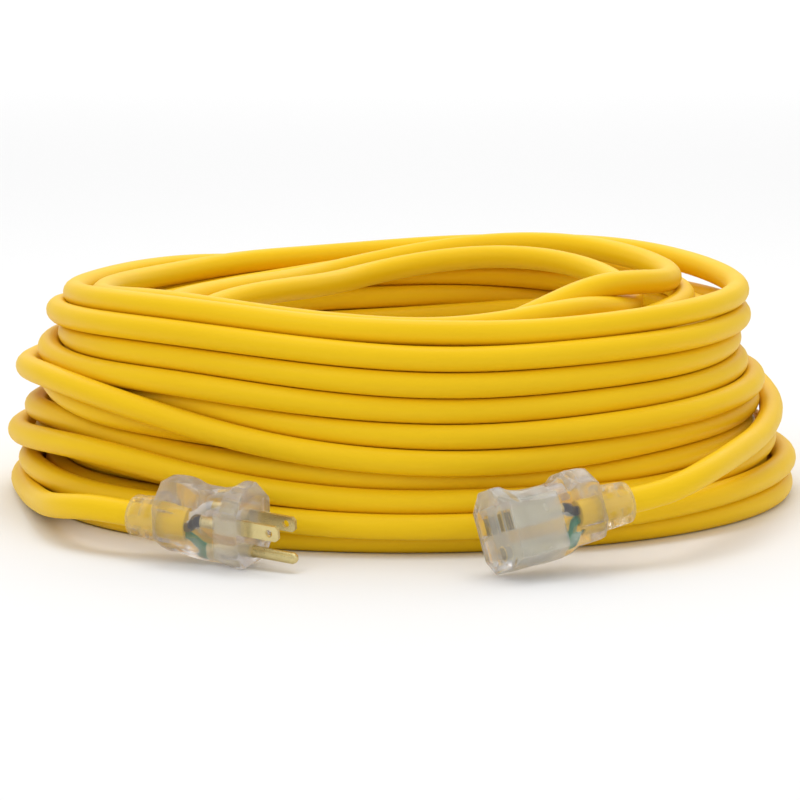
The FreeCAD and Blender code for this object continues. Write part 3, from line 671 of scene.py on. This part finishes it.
class EXTCORD_OT_inner_parts(bpy.types.Operator):
    """Finish the metal, the conductors and the inserts"""

    bl_idname = "extcord.inner_parts"
    bl_label = "Inner Parts"

    def execute(self, context):
        finishes = {
            "brass": brass(),
            "copper": copper(),
            "black_insulation": insulation("black_insulation", (0.012, 0.012, 0.013, 1)),
            "white_insulation": insulation("white_insulation", (0.80, 0.79, 0.76, 1)),
            "green_insulation": insulation("green_insulation", (0.015, 0.22, 0.09, 1)),
            "clear_insert": veiled("clear_insert", (0.92, 0.92, 0.93, 1), 0.16),
            "milky_insert": veiled("milky_insert", (0.88, 0.92, 0.87, 1), 0.30),
            "lamp_glass": lamp_glass(),
            "resistor_body": insulation("resistor_body", (0.42, 0.28, 0.15, 1)),
        }
        for part in frame["record"]["subparts"]:
            piece = frame["nodes"][part["node"]]
            if part["material_slot"] in finishes and not piece.hide_render:
                piece.data.materials.clear()
                piece.data.materials.append(finishes[part["material_slot"]])
        return {"FINISHED"}


# ---------------------------------------------------------------------------
# Materials
# ---------------------------------------------------------------------------
def new_material(name):
    """A node material, its node tree and its shader."""
    material = bpy.data.materials.new(name)
    material.use_nodes = True
    return material, material.node_tree, material.node_tree.nodes["Principled BSDF"]


def noise(tree, scale, detail=2.0, stretch=(1, 1, 1)):
    """A noise pattern fixed to the part, as a factor from 0 to 1."""
    place = tree.nodes.new("ShaderNodeTexCoord")
    mapping = tree.nodes.new("ShaderNodeMapping")
    mapping.inputs["Scale"].default_value = stretch
    pattern = tree.nodes.new("ShaderNodeTexNoise")
    pattern.inputs["Scale"].default_value = scale
    pattern.inputs["Detail"].default_value = detail
    tree.links.new(place.outputs["Object"], mapping.inputs["Vector"])
    tree.links.new(mapping.outputs["Vector"], pattern.inputs["Vector"])
    return pattern.outputs["Fac"]


def between(tree, factor, low, high):
    """A number that runs from low to high with a factor."""
    spread = tree.nodes.new("ShaderNodeMapRange")
    spread.inputs["To Min"].default_value = low
    spread.inputs["To Max"].default_value = high
    tree.links.new(factor, spread.inputs["Value"])
    return spread.outputs["Result"]


def blended(tree, factor, first, second):
    """A colour that runs from first to second with a factor."""
    mix = tree.nodes.new("ShaderNodeMix")
    mix.data_type = "RGBA"
    mix.inputs["A"].default_value = first
    mix.inputs["B"].default_value = second
    tree.links.new(factor, mix.inputs["Factor"])
    return mix.outputs["Result"]


def bumped(tree, shader, factor, depth):
    """Gives a shader's surface small relief."""
    bump = tree.nodes.new("ShaderNodeBump")
    bump.inputs["Distance"].default_value = depth
    tree.links.new(factor, bump.inputs["Height"])
    tree.links.new(bump.outputs["Normal"], shader.inputs["Normal"])


def yellow_jacket(context):
    """Smooth soft vinyl jacket: broad soft highlights, a slightly uneven surface and colour."""
    colours = context.scene.extcord_colours
    material, tree, shader = new_material("yellow_jacket")
    cloud = noise(tree, 16)
    tree.links.new(blended(tree, cloud, colours.jacket, colours.jacket_deep),
                   shader.inputs["Base Color"])
    tree.links.new(between(tree, noise(tree, 60), 0.36, 0.50), shader.inputs["Roughness"])
    shader.inputs["Specular IOR Level"].default_value = 0.12
    bumped(tree, shader, noise(tree, 900, 3), 0.00004)
    return material


def clear_vinyl(context):
    """Clear soft vinyl with a faint cool haze."""
    material, tree, shader = new_material("clear_vinyl")
    colours = context.scene.extcord_colours
    tree.links.new(blended(tree, noise(tree, 90), colours.clear, colours.clear_haze),
                   shader.inputs["Base Color"])
    tree.links.new(between(tree, noise(tree, 220), 0.10, 0.20), shader.inputs["Roughness"])
    shader.inputs["Transmission Weight"].default_value = 0.92
    shader.inputs["Alpha"].default_value = 0.80
    shader.inputs["IOR"].default_value = 1.45
    bumped(tree, shader, noise(tree, 500, 2), 0.00003)
    return material


def thin_vinyl():
    """The same clear vinyl where it is thin: glossy, with hardly any haze."""
    material, tree, shader = new_material("clear_vinyl_thin")
    shader.inputs["Base Color"].default_value = (0.985, 0.98, 0.985, 1)
    tree.links.new(between(tree, noise(tree, 220), 0.05, 0.12), shader.inputs["Roughness"])
    shader.inputs["Transmission Weight"].default_value = 0.84
    shader.inputs["Alpha"].default_value = 0.58
    shader.inputs["IOR"].default_value = 1.45
    return material


def veiled(name, colour, veil):
    """Moulded insert within the clear moulding: a soft veil that bends no light."""
    material, tree, shader = new_material(name)
    darker = tuple(0.94 * part for part in colour[:3]) + (1,)
    tree.links.new(blended(tree, noise(tree, 150), colour, darker), shader.inputs["Base Color"])
    tree.links.new(between(tree, noise(tree, 120), 0.85 * veil, 1.1 * veil), shader.inputs["Alpha"])
    shader.inputs["Roughness"].default_value = 0.5
    shader.inputs["Specular IOR Level"].default_value = 0.1
    return material


def lamp_glass():
    """Warm glass of the indicator lamp. It lies within the clear moulding, so it bends light
    only a little."""
    material, tree, shader = new_material("lamp_glass")
    colour = (0.95, 0.86, 0.76, 1)
    darker = tuple(0.92 * part for part in colour[:3]) + (1,)
    tree.links.new(blended(tree, noise(tree, 150), colour, darker), shader.inputs["Base Color"])
    tree.links.new(between(tree, noise(tree, 300), 0.22, 0.36), shader.inputs["Roughness"])
    shader.inputs["Transmission Weight"].default_value = 0.85
    shader.inputs["IOR"].default_value = 1.3
    return material


def brass():
    """Rolled brass with fine lines along the rolling and a few duller patches."""
    material, tree, shader = new_material("brass")
    patches = noise(tree, 180)
    tree.links.new(blended(tree, patches, (0.78, 0.66, 0.33, 1), (0.64, 0.52, 0.23, 1)),
                   shader.inputs["Base Color"])
    shader.inputs["Metallic"].default_value = 1.0
    lines = noise(tree, 1500, 2, (1, 1, 6))
    tree.links.new(between(tree, lines, 0.20, 0.38), shader.inputs["Roughness"])
    return material


def copper():
    """Bare stranded copper."""
    material, tree, shader = new_material("copper")
    tree.links.new(blended(tree, noise(tree, 700), (0.86, 0.42, 0.26, 1), (0.62, 0.27, 0.15, 1)),
                   shader.inputs["Base Color"])
    shader.inputs["Metallic"].default_value = 1.0
    shader.inputs["Roughness"].default_value = 0.32
    return material


def insulation(name, colour):
    """Smooth coloured plastic, such as a conductor's insulation."""
    material, tree, shader = new_material(name)
    lighter = tuple(min(1, 1.15 * part + 0.004) for part in colour[:3]) + (1,)
    tree.links.new(blended(tree, noise(tree, 250), colour, lighter), shader.inputs["Base Color"])
    tree.links.new(between(tree, noise(tree, 400), 0.28, 0.42), shader.inputs["Roughness"])
    return material


# ---------------------------------------------------------------------------
# Floor, light and camera
# ---------------------------------------------------------------------------
# The four square lamps: where each is, its side in metres and its power in watts.
LAMPS = {
    "key": ((-0.9, -1.2, 1.5), 1.2, 7),
    "fill": ((1.2, -1.0, 1.0), 1.2, 2.5),
    "top": ((0.0, 0.2, 1.6), 1.0, 8.5),
    "backdrop": ((0, 5, 3), 6, 130),
}
# The lamps point at the middle of the coil, except that the backdrop's points all but
# straight down at the floor far behind it.
LAMP_AIM = Vector((0, 0, 0.05))
BACKDROP_AIM = Vector((0, 5.001, 0))
FLOOR_SIDE = 60
FLOOR_COLOUR = (0.84, 0.84, 0.84, 1)
FLOOR_ROUGHNESS = 0.8
SKY_STRENGTH = 0.68
SENSOR_WIDTH = 36


class EXTCORD_OT_stage(bpy.types.Operator):
    """Add the floor, the light and the camera"""

    bl_idname = "extcord.stage"
    bl_label = "Stage"

    def execute(self, context):
        look = context.scene.extcord_stage
        bpy.ops.mesh.primitive_plane_add(size=FLOOR_SIDE)
        floor = context.object
        floor.name = "floor"
        paint, _, shader = new_material("floor")
        shader.inputs["Base Color"].default_value = FLOOR_COLOUR
        shader.inputs["Roughness"].default_value = FLOOR_ROUGHNESS
        floor.data.materials.append(paint)
        world = bpy.data.worlds.new("studio")
        world.use_nodes = True
        sky = world.node_tree.nodes["Background"]
        sky.inputs["Color"].default_value = (1, 1, 1, 1)
        sky.inputs["Strength"].default_value = SKY_STRENGTH
        context.scene.view_settings.view_transform = "Standard"
        context.scene.world = world
        for name, (place, size, power) in LAMPS.items():
            lamp = bpy.data.lights.new(name, "AREA")
            lamp.shape = "SQUARE"
            lamp.size = size
            lamp.energy = power
            shown = bpy.data.objects.new(name, lamp)
            shown.location = place
            aim = BACKDROP_AIM if name == "backdrop" else LAMP_AIM
            shown.rotation_euler = (aim - Vector(place)).to_track_quat("-Z", "Y").to_euler()
            context.collection.objects.link(shown)
        target = Vector(look.look_at)
        back = Vector((0, -math.cos(look.elevation), math.sin(look.elevation)))
        lens = bpy.data.cameras.new("camera")
        lens.lens = look.lens
        lens.sensor_width = SENSOR_WIDTH
        camera = bpy.data.objects.new("camera", lens)
        camera.location = target + back * look.distance
        camera.rotation_euler = (-back).to_track_quat("-Z", "Y").to_euler()
        context.collection.objects.link(camera)
        context.scene.camera = camera
        return {"FINISHED"}


class EXTCORD_PT_panel(bpy.types.Panel):
    """The extension cord's pieces"""

    bl_idname = "EXTCORD_PT_panel"
    bl_label = "Extension Cord"
    bl_space_type = "VIEW_3D"
    bl_region_type = "UI"
    bl_category = "Extension Cord"

    def draw(self, context):
        for piece in PIECES:
            self.layout.operator(piece.bl_idname)


PIECES = (EXTCORD_OT_plug_housing, EXTCORD_OT_connector_housing, EXTCORD_OT_cord,
          EXTCORD_OT_inner_parts, EXTCORD_OT_stage)
GROUPS = {"extcord_sizes": CordSizes, "extcord_colours": CordColours, "extcord_stage": StageLook}


def register():
    for kind in (*GROUPS.values(), *PIECES, EXTCORD_PT_panel):
        bpy.utils.register_class(kind)
    for name, kind in GROUPS.items():
        setattr(bpy.types.Scene, name, bpy.props.PointerProperty(type=kind))


def unregister():
    for name in GROUPS:
        delattr(bpy.types.Scene, name)
    for kind in reversed((*GROUPS.values(), *PIECES, EXTCORD_PT_panel)):
        bpy.utils.unregister_class(kind)


def main():
    register()
    bpy.ops.extcord.plug_housing()
    bpy.ops.extcord.connector_housing()
    bpy.ops.extcord.cord()
    bpy.ops.extcord.inner_parts()
    bpy.ops.extcord.stage()


if __name__ == "__main__":
    main()
